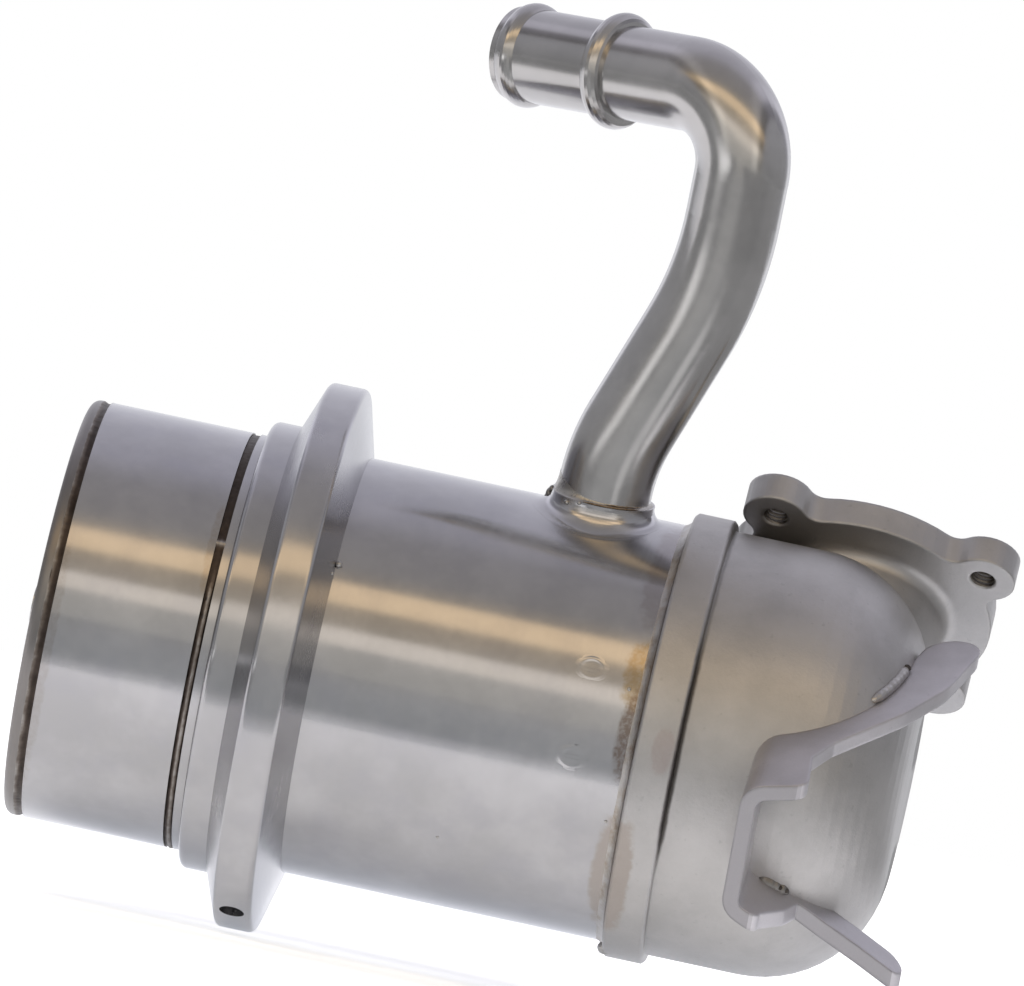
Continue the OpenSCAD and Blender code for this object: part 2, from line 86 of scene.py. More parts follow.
# Camera: a long lens, yawed and rolled as in the photograph
YAW = math.radians(3.6)
ROLL = math.radians(12.05)
DISTANCE = 4.6
SENSOR_WIDTH = 36.0
VIEW_WIDTH = 0.2222
VIEW_CENTRE = Vector((0.0391, 0.0, 0.04492))

forward = Vector((-math.sin(YAW), math.cos(YAW), 0.0))
level = Vector((math.cos(YAW), math.sin(YAW), 0.0))
up = Vector((0.0, 0.0, 1.0))
cam_right = level * math.cos(ROLL) + up * math.sin(ROLL)
cam_up = up * math.cos(ROLL) - level * math.sin(ROLL)
cam_data = bpy.data.cameras.new("camera")
cam_data.sensor_width = SENSOR_WIDTH
cam_data.lens = SENSOR_WIDTH * DISTANCE / VIEW_WIDTH
cam_data.clip_end = 100.0
camera = bpy.data.objects.new("camera", cam_data)
bpy.context.collection.objects.link(camera)
turn = Matrix((cam_right, cam_up, -forward)).transposed()
camera.matrix_world = Matrix.Translation(VIEW_CENTRE - forward * DISTANCE) @ turn.to_4x4()
bpy.context.scene.camera = camera
bpy.context.scene.view_settings.view_transform = "Standard"


# Node helpers
class Tree:
    def __init__(self, name):
        self.mat = bpy.data.materials.new(name)
        self.mat.use_nodes = True
        self.nodes = self.mat.node_tree.nodes
        self.links = self.mat.node_tree.links
        self.shader = self.nodes["Principled BSDF"]
        self.coord = self.add("TexCoord").outputs["Object"]

    def add(self, kind, **props):
        made = self.nodes.new("ShaderNode" + kind)
        for key, value in props.items():
            setattr(made, key, value)
        return made

    def put(self, socket, value):
        if isinstance(value, bpy.types.NodeSocket):
            self.links.new(value, socket)
        else:
            socket.default_value = value

    def math(self, op, a, b=0.0, clamp=False):
        made = self.add("Math", operation=op, use_clamp=clamp)
        self.put(made.inputs[0], a)
        self.put(made.inputs[1], b)
        return made.outputs[0]

    def axes(self):
        made = self.add("SeparateXYZ")
        self.put(made.inputs[0], self.coord)
        return made.outputs

    def joined(self, x, y, z):
        made = self.add("CombineXYZ")
        for socket, value in zip(made.inputs, (x, y, z)):
            self.put(socket, value)
        return made.outputs[0]

    def noise(self, scale, detail=3.0, rough=0.5, at=None):
        made = self.add("TexNoise")
        self.put(made.inputs["Vector"], self.coord if at is None else at)
        made.inputs["Scale"].default_value = scale
        made.inputs["Detail"].default_value = detail
        made.inputs["Roughness"].default_value = rough
        return made.outputs["Fac"]

    def remap(self, value, low, high, to_low=0.0, to_high=1.0, smooth=True):
        made = self.add("MapRange", clamp=True)
        made.interpolation_type = "SMOOTHSTEP" if smooth else "LINEAR"
        self.put(made.inputs["Value"], value)
        ends = {"From Min": low, "From Max": high, "To Min": to_low, "To Max": to_high}
        for key, number in ends.items():
            made.inputs[key].default_value = number
        return made.outputs["Result"]

    def mix(self, fac, a, b, blend="MIX"):
        made = self.add("Mix", data_type="RGBA", blend_type=blend)
        self.put(made.inputs[0], fac)
        for socket, value in ((made.inputs[6], a), (made.inputs[7], b)):
            self.put(socket, value if isinstance(value, bpy.types.NodeSocket) else (*value, 1.0))
        return made.outputs[2]

    def ramp(self, value, stops):
        made = self.add("ValToRGB")
        self.put(made.inputs[0], value)
        ramp = made.color_ramp
        while len(ramp.elements) < len(stops):
            ramp.elements.new(0.5)
        for element, (place, colour) in zip(ramp.elements, stops):
            element.position = place
            element.color = (*colour, 1.0)
        return made.outputs["Color"]

    def bump(self, height, strength, distance, soften=0.0):
        made = self.add("Bump")
        if soften:
            rounded = self.add("Bevel", samples=6)
            rounded.inputs["Radius"].default_value = soften
            self.put(made.inputs["Normal"], rounded.outputs[0])
        made.inputs["Strength"].default_value = strength
        made.inputs["Distance"].default_value = distance
        self.put(made.inputs["Height"], height)
        self.put(self.shader.inputs["Normal"], made.outputs[0])

    def finish(self, colour, rough, metallic=1.0):
        self.put(self.shader.inputs["Base Color"], colour)
        self.put(self.shader.inputs["Roughness"], rough)
        self.shader.inputs["Metallic"].default_value = metallic
        return self.mat


def around(t):
    """Place along X and distance from it, as sockets."""
    x, y, z = t.axes()
    return x, t.math("SQRT", t.math("ADD", t.math("MULTIPLY", y, y), t.math("MULTIPLY", z, z)))


def bell(t, value, middle, half):
    """One at the middle, nothing beyond half, as a socket."""
    away = t.math("ABSOLUTE", t.math("SUBTRACT", value, middle * MM))
    return t.remap(away, 0.0, half * MM, 1.0, 0.0)


# Sides of the part: towards the camera and away from it
FRONT, BACK = -1, 1
SIDE_FADE = 8.0


def stained(t, colour, stains):
    """Patches of heat tint: middle X and Z, half width and height, side or middle Y and half depth, colour,
    strength, speckled share."""
    x, y, z = t.axes()
    edge = t.math("MULTIPLY", t.math("SUBTRACT", t.noise(330.0, 5.0, 0.65), 0.5), 0.8)
    speckle = t.remap(t.noise(900.0, 3.0, 0.7), 0.38, 0.58)
    for middle_x, middle_z, half_x, half_z, where, tint, strength, speckled in stains:
        mask = t.math("MULTIPLY", bell(t, x, middle_x, half_x), bell(t, z, middle_z, half_z))
        if where not in (FRONT, BACK):
            mask = t.math("MULTIPLY", mask, bell(t, y, *where))
        ragged = t.math("MULTIPLY", edge, t.remap(mask, 0.0, 0.3))
        mask = t.remap(t.math("ADD", mask, ragged), 0.12, 0.42, 0.0, strength)
        if where in (FRONT, BACK):
            mask = t.math("MULTIPLY", mask, t.remap(t.math("MULTIPLY", y, where), 0.0, SIDE_FADE * MM))
        if speckled:
            share = t.math("ADD", t.math("MULTIPLY", speckle, speckled), 1.0 - speckled)
            mask = t.math("MULTIPLY", mask, share)
        colour = t.mix(mask, colour, tint)
    return colour


# Turns of the lathe tool and its coarser bands, per metre
RING_SCALE = 1700.0
BAND_SCALE = 240.0


def turned_steel(name, base, rough, stains=(), groove=0.00003):
    """Lathe-turned stainless steel: fine rings round X, smudges, and heat tint beside welds."""
    t = Tree(name)
    x, r = around(t)
    rings = t.noise(1.0, 4.0, 0.6, t.joined(*(t.math("MULTIPLY", v, RING_SCALE) for v in (x, r)), 0.0))
    bands = t.noise(1.0, 2.0, 0.5, t.joined(*(t.math("MULTIPLY", v, BAND_SCALE) for v in (x, r)), 3.0))
    smudge = t.noise(38.0, 5.0, 0.62)
    grain = t.noise(900.0, 2.0, 0.5)
    dark = tuple(c * 0.88 for c in base)
    light = tuple(min(1.0, c * 1.06) for c in base)
    colour = t.mix(t.remap(smudge, 0.32, 0.68), dark, light)
    cloud = t.noise(95.0, 4.0, 0.6)
    bluish = (base[0] * 0.84, base[1] * 0.84, base[2] * 0.88)
    colour = t.mix(t.remap(cloud, 0.42, 0.72, 0.0, 0.5), colour, bluish)
    colour = t.mix(t.math("MULTIPLY", bands, 0.2), colour, tuple(c * 0.82 for c in base))
    colour = stained(t, colour, stains)
    roughness = t.math("ADD", t.math("MULTIPLY", rings, 0.10), rough - 0.05)
    roughness = t.math("ADD", roughness, t.remap(smudge, 0.35, 0.75, -0.03, 0.06))
    t.bump(t.math("ADD", rings, t.math("MULTIPLY", grain, 0.25)), 0.35, groove)
    tangent = t.add("Tangent", direction_type="RADIAL", axis="X")
    t.put(t.shader.inputs["Tangent"], tangent.outputs[0])
    t.shader.inputs["Anisotropic"].default_value = 0.8
    t.shader.inputs["Anisotropic Rotation"].default_value = 0.25
    return t.finish(colour, roughness)


# Scratches per metre across the upright tube, twice, and along it
SCRATCH_SCALE = (700.0, 700.0, 60.0)


def drawn_steel(name, base, rough):
    """Drawn and bent tube: soft streaks, tiny scratches and bend marks."""
    t = Tree(name)
    smudge = t.noise(55.0, 5.0, 0.6)
    fine = t.noise(1400.0, 3.0, 0.6)
    stretched = (t.math("MULTIPLY", v, scale) for v, scale in zip(t.axes(), SCRATCH_SCALE))
    scratch = t.noise(1.0, 3.0, 0.6, t.joined(*stretched))
    colour = t.mix(t.remap(smudge, 0.3, 0.7), tuple(c * 0.88 for c in base), tuple(c * 1.05 for c in base))
    colour = t.mix(t.remap(scratch, 0.64, 0.8, 0.0, 0.25), colour, tuple(c * 0.75 for c in base))
    roughness = t.math("ADD", t.math("MULTIPLY", fine, 0.06), rough - 0.03)
    roughness = t.math("ADD", roughness, t.remap(smudge, 0.3, 0.8, -0.03, 0.05))
    t.bump(t.math("ADD", scratch, t.math("MULTIPLY", fine, 0.3)), 0.14, 0.00002)
    return t.finish(colour, roughness)


def blasted_steel(name, base, rough, grain_scale=1500.0, depth=0.00009, soften=0.0, stains=(), gap=None,
                  edge_shade=None):
    """Cast or folded steel after blasting: fine grain, faint stains, rounded edges, painted shade on the
    faces turned along a given way, and painted shade in a gap.
    """
    t = Tree(name)
    grain = t.noise(grain_scale, 3.0, 0.62)
    lumps = t.noise(grain_scale * 0.22, 3.0, 0.55)
    stain = t.noise(42.0, 5.0, 0.6)
    speck = t.noise(620.0, 2.0, 0.5)
    colour = t.mix(t.remap(stain, 0.3, 0.7), tuple(c * 0.86 for c in base), tuple(c * 1.06 for c in base))
    colour = t.mix(t.remap(speck, 0.66, 0.78, 0.0, 0.3), colour, tuple(c * 0.6 for c in base))
    colour = stained(t, colour, stains)
    # Painted shade: faces turned along the given way, the strip's edge faces, get a darker colour
    if edge_shade:
        way, shade = edge_shade
        facing = t.add("VectorMath", operation="DOT_PRODUCT")
        t.put(facing.inputs[0], t.coord.node.outputs["Normal"])
        facing.inputs[1].default_value = way
        edge_shade_mask = t.remap(t.math("ABSOLUTE", facing.outputs["Value"]), 0.82, 0.96)
        colour = t.mix(edge_shade_mask, colour, tuple(c * shade for c in base))
    # Painted shade in the gap beside the collar
    if gap:
        colour = t.mix(gap_shade_mask(t, *gap), colour, GAP_SHADE_TINT)
    roughness = t.math("ADD", t.math("MULTIPLY", grain, 0.16), rough - 0.08)
    t.bump(t.math("ADD", grain, t.math("MULTIPLY", lumps, 1.3)), 0.5, depth, soften)
    return t.finish(colour, roughness)


def gap_shade_mask(t, place, half, low, high):
    """Painted shade in the gap round X: dark where the gap is, it narrows to nothing below low and grows pale
    above high.
    """
    x, _, z = t.axes()
    wide = t.math("MULTIPLY", t.remap(z, low * MM, (low + 14.0) * MM), half * MM)
    wide = t.math("MULTIPLY", wide, t.remap(t.noise(160.0, 3.0, 0.6), 0.2, 0.7, 0.75, 1.0))
    away = t.math("ABSOLUTE", t.math("SUBTRACT", x, place * MM))
    inside = t.remap(t.math("SUBTRACT", wide, away), -0.0001, 0.0007)
    return t.math("MULTIPLY", inside, t.remap(z, high * MM, (high + 12.0) * MM, 0.95, 0.45))


def seam_metal_by_depth(name, deep, high, stops, rough):
    """Weld metal that is black in the crease and paler on its crown."""
    t = Tree(name)
    r = around(t)[1]
    patch = t.noise(380.0, 4.0, 0.65)
    fine = t.noise(2400.0, 3.0, 0.6)
    height = t.remap(r, deep * MM, high * MM, smooth=False)
    height = t.math("ADD", height, t.math("MULTIPLY", t.math("SUBTRACT", patch, 0.5), 0.45))
    t.bump(t.math("ADD", fine, t.math("MULTIPLY", patch, 1.5)), 0.5, 0.00008)
    return t.finish(t.ramp(height, stops), rough)


def burnt_weld(name, stops, rough, scale=260.0):
    """Oxidised weld metal in patches of several tints; also used for the braze, and darker, as painted shade
    in pits and threads.
    """
    t = Tree(name)
    patch = t.noise(scale, 5.0, 0.68)
    fine = t.noise(2400.0, 3.0, 0.6)
    colour = t.ramp(t.remap(patch, 0.28, 0.74, smooth=False), stops)
    roughness = t.math("ADD", t.math("MULTIPLY", patch, 0.3), rough - 0.15)
    t.bump(t.math("ADD", fine, t.math("MULTIPLY", patch, 1.5)), 0.6, 0.0001)
    return t.finish(colour, roughness)


STEEL = (0.49, 0.485, 0.495)
GOLD_TINT = (0.37, 0.285, 0.17)
BROWN_TINT = (0.17, 0.11, 0.075)
TAN_TINT = (0.37, 0.325, 0.29)
SOOT_TINT = (0.075, 0.07, 0.065)
# Colour of the painted shade in the gap beside the collar
GAP_SHADE_TINT = (0.075, 0.068, 0.063)
# Stains on the shell beside the collar, seen in the photograph at the front; fainter ones behind
SHELL_STAINS = [
    (COLLAR_LEFT - 0.8, 12.0, 7.4, 12.0, FRONT, GOLD_TINT, 0.8, 0.3),
    (COLLAR_LEFT - 1.0, -1.0, 5.2, 15.0, FRONT, BROWN_TINT, 0.75, 0.45),
    (COLLAR_LEFT - 0.5, -30.0, 6.0, 18.0, FRONT, TAN_TINT, 0.75, 0.0),
    (COLLAR_LEFT - 1.0, 34.0, 7.5, 18.0, FRONT, (0.32, 0.29, 0.29), 0.55, 0.2),
    (COLLAR_LEFT - 1.0, 8.0, 6.5, 34.0, BACK, TAN_TINT, 0.55, 0.3)]
CAST_STAINS = [
    (COLLAR_LEFT + 0.6, -31.0, 5.4, 18.0, FRONT, TAN_TINT, 0.75, 0.0),
    (COLLAR_LEFT + 6.0, -2.5, 3.4, 7.5, FRONT, (0.40, 0.33, 0.32), 0.5, 0.2),
    (CAP_END, 10.3, 5.0, 9.0, (9.0, 15.0), SOOT_TINT, 0.75, 0.12),
    (CAP_END, -19.0, 7.0, 10.0, (6.0, 15.0), SOOT_TINT, 0.75, 0.12)]
SLEEVE_STAINS = [
    (SLEEVE_LEFT, -10.0, 3.0, 40.0, FRONT, (0.33, 0.30, 0.28), 0.45, 0.4),
    (SLEEVE_RIGHT, 20.0, 2.6, 14.0, FRONT, (0.36, 0.31, 0.26), 0.5, 0.4),
    (SLEEVE_LEFT, 10.0, 3.0, 40.0, BACK, (0.33, 0.30, 0.28), 0.45, 0.4)]
turned = turned_steel("turned_steel", STEEL, 0.23)
header_steel = turned_steel("header_steel", (0.27, 0.255, 0.245), 0.42)
sleeve_steel = turned_steel("sleeve_steel", STEEL, 0.18, SLEEVE_STAINS)
shell_steel = turned_steel("shell_steel", STEEL, 0.18, SHELL_STAINS)
tube_steel = drawn_steel("tube_steel", (0.49, 0.48, 0.475), 0.20)
# Cast steel of the end housing, with painted shade in the gap at the collar's right edge
cast_steel = blasted_steel("cast_steel", (0.49, 0.48, 0.475), 0.46, soften=0.0009, stains=CAST_STAINS,
                           gap=(COLLAR_RIGHT + 0.1, 1.0, -32.0, 14.0))
# Sheet steel of the bracket, with painted shade on the strip's edge faces
sheet_steel = blasted_steel("sheet_steel", (0.59, 0.575, 0.60), 0.48, 1900.0, 0.00008, soften=0.0010,
                            edge_shade=((0.0, math.cos(BRACKET_TURN), math.sin(BRACKET_TURN)), 0.60))
plate_steel = turned_steel("plate_steel", (0.42, 0.40, 0.39), 0.34)
seam_metal = seam_metal_by_depth("seam_metal", SHELL_R - 0.62, SHELL_R + 0.06, [
    (0.0, (0.022, 0.018, 0.016)), (0.45, (0.075, 0.060, 0.052)), (0.72, (0.16, 0.135, 0.118)),
    (1.0, (0.38, 0.365, 0.35))], 0.42)
bead_metal = burnt_weld("bead_metal", [
    (0.0, (0.26, 0.21, 0.165)), (0.3, (0.38, 0.34, 0.30)), (0.6, (0.46, 0.445, 0.43)),
    (1.0, (0.52, 0.515, 0.51))], 0.34)
bright_bead = burnt_weld("bright_bead", [
    (0.0, (0.36, 0.345, 0.33)), (0.5, (0.47, 0.46, 0.45)), (1.0, (0.55, 0.54, 0.53))], 0.34, 420.0)
dull_bead = burnt_weld("dull_bead", [
    (0.0, (0.17, 0.16, 0.15)), (0.5, (0.25, 0.24, 0.23)), (1.0, (0.33, 0.32, 0.31))], 0.44, 420.0)
# Near-black: painted shade of the pits and the crater
pit_shade = burnt_weld("pit_shade", [
    (0.0, (0.03, 0.026, 0.024)), (0.5, (0.09, 0.08, 0.075)), (1.0, (0.2, 0.19, 0.18))], 0.6, 700.0)
copper = burnt_weld("copper_braze", [
    (0.0, (0.13, 0.09, 0.06)), (0.5, (0.32, 0.235, 0.16)), (1.0, (0.46, 0.40, 0.32))], 0.32, 500.0)
foot_metal = burnt_weld("foot_metal", [
    (0.0, (0.27, 0.245, 0.215)), (0.5, (0.40, 0.385, 0.36)), (1.0, (0.48, 0.47, 0.455))], 0.27, 180.0)
# Dark: painted shade on the thread walls inside the ear holes
thread_shade = burnt_weld("thread_shade", [
    (0.0, (0.10, 0.085, 0.07)), (0.5, (0.20, 0.18, 0.16)), (1.0, (0.30, 0.28, 0.26))], 0.4, 500.0)

NODE_LOOKS = {
    "front_header_plate": header_steel,
    "front_seam_weld": seam_metal,
    "spigot_sleeve": sleeve_steel,
    "flange_seam_weld": seam_metal,
    "mounting_flange": turned,
    "outer_shell": shell_steel,
    "rear_header_plate": plate_steel,
    "gas_tubes": tube_steel,
    "baffle_front": plate_steel,
    "baffle_middle": plate_steel,
    "baffle_rear": plate_steel,
    "coolant_pipe": tube_steel,
    "pipe_braze": copper,
    "collar_weld": bead_metal,
    "end_housing": cast_steel,
    "bracket": sheet_steel,
    "bracket_upper_weld": bright_bead,
    "bracket_lower_weld": bright_bead,
}
for name, look in NODE_LOOKS.items():
    slots = nodes[name].material_slots
    if not slots:
        nodes[name].data.materials.append(look)
    for slot in slots:
        slot.material = look


# Mesh helpers; places are in millimetres
def wave(*place):
    """Smooth noise between -1 and 1."""
    return noise.noise(Vector(place))


def smooth(value, low, high):
    share = min(1.0, max(0.0, (value - low) / (high - low)))
    return share * share * (3.0 - 2.0 * share)


def on_ring(x, r, a):
    """Point round X; a counts from the camera's side upwards."""
    return x, -r * math.cos(a), r * math.sin(a)


def add_loops(bm, loops, ring=False):
    """Closed body through loops of equally many points; a ring joins its last loop to its first."""
    rows = [[bm.verts.new(Vector(p) * MM) for p in loop] for loop in loops]
    count = len(loops[0])
    for i in range(len(rows) if ring else len(rows) - 1):
        a, b = rows[i], rows[(i + 1) % len(rows)]
        for j in range(count):
            k = (j + 1) % count
            bm.faces.new((a[j], a[k], b[k], b[j]))
    if not ring:
        bm.faces.new(rows[0])
        bm.faces.new(rows[-1])


def add_tube(bm, path, radii, sides=16):
    """Round closed body along a path, with a radius at each point."""
    path = [Vector(p) for p in path]
    side = None
    loops = []
    for i, (place, r) in enumerate(zip(path, radii)):
        ahead = (path[min(i + 1, len(path) - 1)] - path[max(i - 1, 0)]).normalized()
        if side is None:
            side = ahead.orthogonal().normalized()
        side = (side - ahead * side.dot(ahead)).normalized()
        other = ahead.cross(side)
        loops.append([place + (side * math.cos(t) + other * math.sin(t)) * r
                      for t in (2 * math.pi * j / sides for j in range(sides))])
    add_loops(bm, loops)


BALL_ROWS, BALL_SIDES = 10, 16


def add_ball(bm, middle, out, r, flat, seed):
    """Drop of spatter: an uneven ball, flattened along out and sunk a little."""
    out = Vector(out).normalized()
    side = out.orthogonal().normalized()
    other = out.cross(side)
    loops = []
    for i in range(BALL_ROWS + 1):
        lat = -math.pi / 2 + math.pi * (0.04 + 0.92 * i / BALL_ROWS)
        loop = []
        for j in range(BALL_SIDES):
            turn = 2 * math.pi * j / BALL_SIDES
            round_it = (side * math.cos(turn) + other * math.sin(turn)) * math.cos(lat)
            way = round_it + out * math.sin(lat) * flat
            uneven = 1.0 + 0.12 * wave(way.x * 1.7 + seed, way.y * 1.7, way.z * 1.7)
            loop.append(Vector(middle) + way * r * uneven)
        loops.append(loop)
    add_loops(bm, loops)


SHARP_FROM = math.radians(50.0)


def piece(name, bm, look, slot, *stands_for):
    """Finished piece on the root body, with its look as its material, in place of the nodes that it stands
    for; the slot is not used.
    """
    bmesh.ops.recalc_face_normals(bm, faces=bm.faces)
    for face in bm.faces:
        face.smooth = True
    mesh = bpy.data.meshes.new(name)
    bm.to_mesh(mesh)
    bm.free()
    mesh.set_sharp_from_angle(angle=SHARP_FROM)
    mesh.materials.append(look)
    made = bpy.data.objects.new(name, mesh)
    bpy.context.collection.objects.link(made)
    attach(made, "root")
    if stands_for:
        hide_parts(*stands_for)


# Seams: sunk beads that run over the edges beside them here and there
RING_STEPS = 1080
SEAM_ROOT = 1.2
# Places of a seam's five ridges as shares of its width
RIDGES = (0.05, 0.26, 0.5, 0.74, 0.95)


def seam(name, node, rises_at, spill):
    """Ring of weld metal; rises_at gives the height of its five ridges over the sleeve at a place."""
    left, right = span(node)
    wide = right - left
    bm = bmesh.new()
    loops = []
    for i in range(RING_STEPS):
        a = 2 * math.pi * i / RING_STEPS
        _, y, z = on_ring(0.0, SHELL_R, a)
        before = spill[0] * max(0.0, wave(3.0, y * 0.55, z * 0.55) + 0.25)
        after = spill[1] * max(0.0, wave(6.0, y * 0.55, z * 0.55) + 0.25)
        section = [(left - before, 0.02)]
        for k, (share, rise) in enumerate(zip(RIDGES, rises_at(y, z))):
            rough = 0.07 * wave(left + k * 0.6, y * 0.6, z * 0.6) + 0.04 * wave(k * 2.0, y * 1.9, z * 1.9)
            section.append((left + wide * share, min(0.12, rise + rough)))
        section += [(right + after, 0.02), (right + after, -0.06), (right, -SEAM_ROOT), (left, -SEAM_ROOT),
                    (left - before, -0.06)]
        loops.append([on_ring(px, SHELL_R + rise, a) for px, rise in section])
    add_loops(bm, loops, ring=True)
    piece(name, bm, seam_metal, "weld", node)


TACK_Z = 21.4
TACK_RISE = 0.05
FRONT_RISES = (-0.05, -0.16, -0.36, -0.44, -0.38)
DEEP_RISES = (-0.40, -0.42, -0.38, -0.42, -0.40)
LOW_RISES = (-0.44, -0.36, -0.02, -0.10, -0.44)


def front_rises(y, z):
    return [rise + 0.16 * wave(k * 0.4, y * 0.2, z * 0.2) for k, rise in enumerate(FRONT_RISES)]


def flange_rises(y, z):
    """Deep and dark above the tack, a low crown between two creases under it."""
    deep = smooth(z, TACK_Z - 12.0, TACK_Z - 3.0)
    tack = math.exp(-((z - TACK_Z) / 0.7) ** 2) if y < 0.0 else 0.0
    return [(low + (high - low) * deep) * (1.0 - tack) + TACK_RISE * tack
            for low, high in zip(LOW_RISES, DEEP_RISES)]


seam("front_seam_bead", "front_seam_weld", front_rises, (0.1, 0.45))
seam("flange_seam_bead", "flange_seam_weld", flange_rises, (0.12, 0.2))

# Collar weld: a hollow fillet with fine ripples
COLLAR_FOOT = span("collar_weld")[0]
bm = bmesh.new()
loops = []
for i in range(RING_STEPS):
    a = 2 * math.pi * i / RING_STEPS
    _, y, z = on_ring(0.0, SHELL_R, a)
    foot = COLLAR_FOOT - 0.25 + 0.15 * wave(1.0, y * 0.3, z * 0.3)
    rise = 1.5 + 0.18 * wave(5.0, y * 0.35, z * 0.35)
    ripple = 0.015 * math.sin(a * SHELL_R * 5.2) + 0.035 * wave(8.0, y * 0.8, z * 0.8)
    section = [(foot, 0.012)]
    for share in (0.2, 0.4, 0.6, 0.8):
        hollow = 0.22 * math.sin(math.pi * share)
        bulge = ripple * math.sin(math.pi * share)
        height = rise * share ** 1.4 - hollow * 0.3 + bulge + 0.03
        section.append((foot + (COLLAR_LEFT - foot) * share, height))
    section += [(COLLAR_LEFT - 0.16, rise), (COLLAR_LEFT + 0.02, rise - 0.3), (COLLAR_LEFT + 0.02, -0.1),
                (foot, -0.1)]
    loops.append([on_ring(px, SHELL_R + height, a) for px, height in section])
add_loops(bm, loops, ring=True)
piece("collar_bead", bm, bead_metal, "weld", "collar_weld")

# Round marks of two spot welds on the shell, a low rim round a shallow dish: X, Z and the rim's high side
SPOT_R = 2.6
SPOT_EDGE = 1.6
SPOT_ROWS, SPOT_SIDES = 16, 48
bm = bmesh.new()
for place, z, side in ((66.6, 11.8, 1.9), (66.4, -7.8, 3.1)):
    middle = math.asin(z / SHELL_R)
    loops = []
    for i in range(SPOT_ROWS + 1):
        reach = (SPOT_R + SPOT_EDGE) * (i + 0.02) / SPOT_ROWS
        loop = []
        for j in range(SPOT_SIDES):
            t = 2 * math.pi * j / SPOT_SIDES
            arch = 0.25 + 0.75 * max(0.0, math.cos(t - side))
            rim = 0.10 * arch * math.exp(-((reach - SPOT_R) / 0.55) ** 2)
            height = rim + 0.004 - 0.03 * smooth(i, SPOT_ROWS - 2, SPOT_ROWS)
            loop.append(on_ring(place + reach * math.cos(t), SHELL_R + height,
                                middle + reach * 0.8 * math.sin(t) / SHELL_R))
        loops.append(loop)
    add_loops(bm, loops)
piece("spot_weld_marks", bm, shell_steel, "shell_steel")

# Drops of spatter: X, distance from X, Z, radius, flatness
SPATTER = (
    (8.4, 46.5, 22.2, 0.75, 0.85), (7.4, 47.2, 20.0, 0.45, 0.8), (COLLAR_LEFT + 0.6, 47.9, -47.2, 1.8, 0.8),
    (COLLAR_LEFT - 4.0, 46.1, 9.0, 0.4, 0.5), (COLLAR_LEFT - 3.2, 46.1, -20.0, 0.35, 0.5),
    (41.0, 46.05, -31.0, 0.35, 0.4))
bm = bmesh.new()
for x, r, z, size, flat in SPATTER:
    y = -math.sqrt(max(0.0, r * r - z * z))
    add_ball(bm, (x, y, z), (0.0, y, z), size, flat, x)
piece("weld_spatter", bm, bright_bead, "weld")


# Pipe foot: a fillet drawn out of the shell, with the braze as a thin uneven line above it
PIPE_TURN = math.radians(12.0)
PIPE_R = 10.3
NECK_R = PIPE_R + 1.05
NECK_HEIGHT = 3.4
NECK_TOP = SHELL_R + NECK_HEIGHT
FLARE_R = 6.0
FOOT_STEPS, BRAZE_STEPS = 180, 240


def in_pipe_frame(rho, turn, h):
    y, z = rho * math.sin(turn), h
    return (PIPE_X + rho * math.cos(turn), y * math.cos(PIPE_TURN) - z * math.sin(PIPE_TURN),
            y * math.sin(PIPE_TURN) + z * math.cos(PIPE_TURN))


def shell_height(rho, turn):
    return math.sqrt(SHELL_R ** 2 - (rho * math.sin(turn)) ** 2)


def curve(s, start, corner, stop):
    """Point at share s of a smooth curve from start to stop that bends towards the corner."""
    return tuple((1 - s) ** 2 * a + 2 * s * (1 - s) * b + s * s * c for a, b, c in zip(start, corner, stop))


def flare_at(h):
    """Radius of the neck's outside at height h, in its arc and in the cone below."""
    end = math.asin(NECK_HEIGHT / FLARE_R)
    drop = NECK_TOP - h
    if drop < NECK_HEIGHT:
        return NECK_R + FLARE_R - math.sqrt(FLARE_R ** 2 - drop ** 2)
    return NECK_R + FLARE_R * (1.0 - math.cos(end)) + (drop - NECK_HEIGHT) * math.tan(end)


bm = bmesh.new()
loops = []
for i in range(FOOT_STEPS):
    turn = 2 * math.pi * i / FOOT_STEPS
    h = NECK_TOP
    while h > shell_height(flare_at(h), turn):
        h -= 0.02
    foot = (flare_at(h), h)
    # wider on the left, where the photograph shows the wall drawn out more
    reach = 1.5 + 1.6 * max(0.0, -math.cos(turn)) + 0.15 * wave(math.cos(turn) * 2, math.sin(turn) * 2, 4.0)
    top = min(NECK_TOP - 0.3, h + 2.0)
    start = (flare_at(top), top)
    stop_rho = foot[0] + reach
    stop = (stop_rho, shell_height(stop_rho, turn))
    section = []
    for k in range(11):
        s = k / 10
        rho, high = curve(s, start, foot, stop)
        section.append((rho + 0.02 * (1 - s), high + 0.03 * s))
    section += [(stop[0], stop[1] - 0.3), (foot[0] - 0.4, foot[1] - 0.5), (start[0] - 0.3, start[1])]
    loops.append([in_pipe_frame(rho, turn, high) for rho, high in section])
add_loops(bm, loops, ring=True)
piece("pipe_foot_fillet", bm, shell_steel, "shell_steel")

bm = bmesh.new()
loops = []
for i in range(BRAZE_STEPS):
    turn = 2 * math.pi * i / BRAZE_STEPS
    here = (math.cos(turn) * 3, math.sin(turn) * 3)
    left = max(0.0, -math.cos(turn))
    rise = 0.7 + 3.4 * left * left + 0.2 * wave(*here, 7.0)
    top = (PIPE_R - 0.02, NECK_TOP + rise)
    low = (NECK_R + 0.03, NECK_TOP - 0.12)
    bend = (PIPE_R + 0.12, NECK_TOP + 0.25 + 0.35 * left)
    section = [curve(k / 7, top, bend, low) for k in range(8)]
    section += [(NECK_R - 0.2, NECK_TOP - 0.2), (PIPE_R - 0.2, NECK_TOP - 0.2),
                (PIPE_R - 0.2, NECK_TOP + rise - 0.1)]
    loops.append([in_pipe_frame(rho, turn, high) for rho, high in section])
add_loops(bm, loops, ring=True)
piece("braze_fillet", bm, foot_metal, "braze", "pipe_braze")

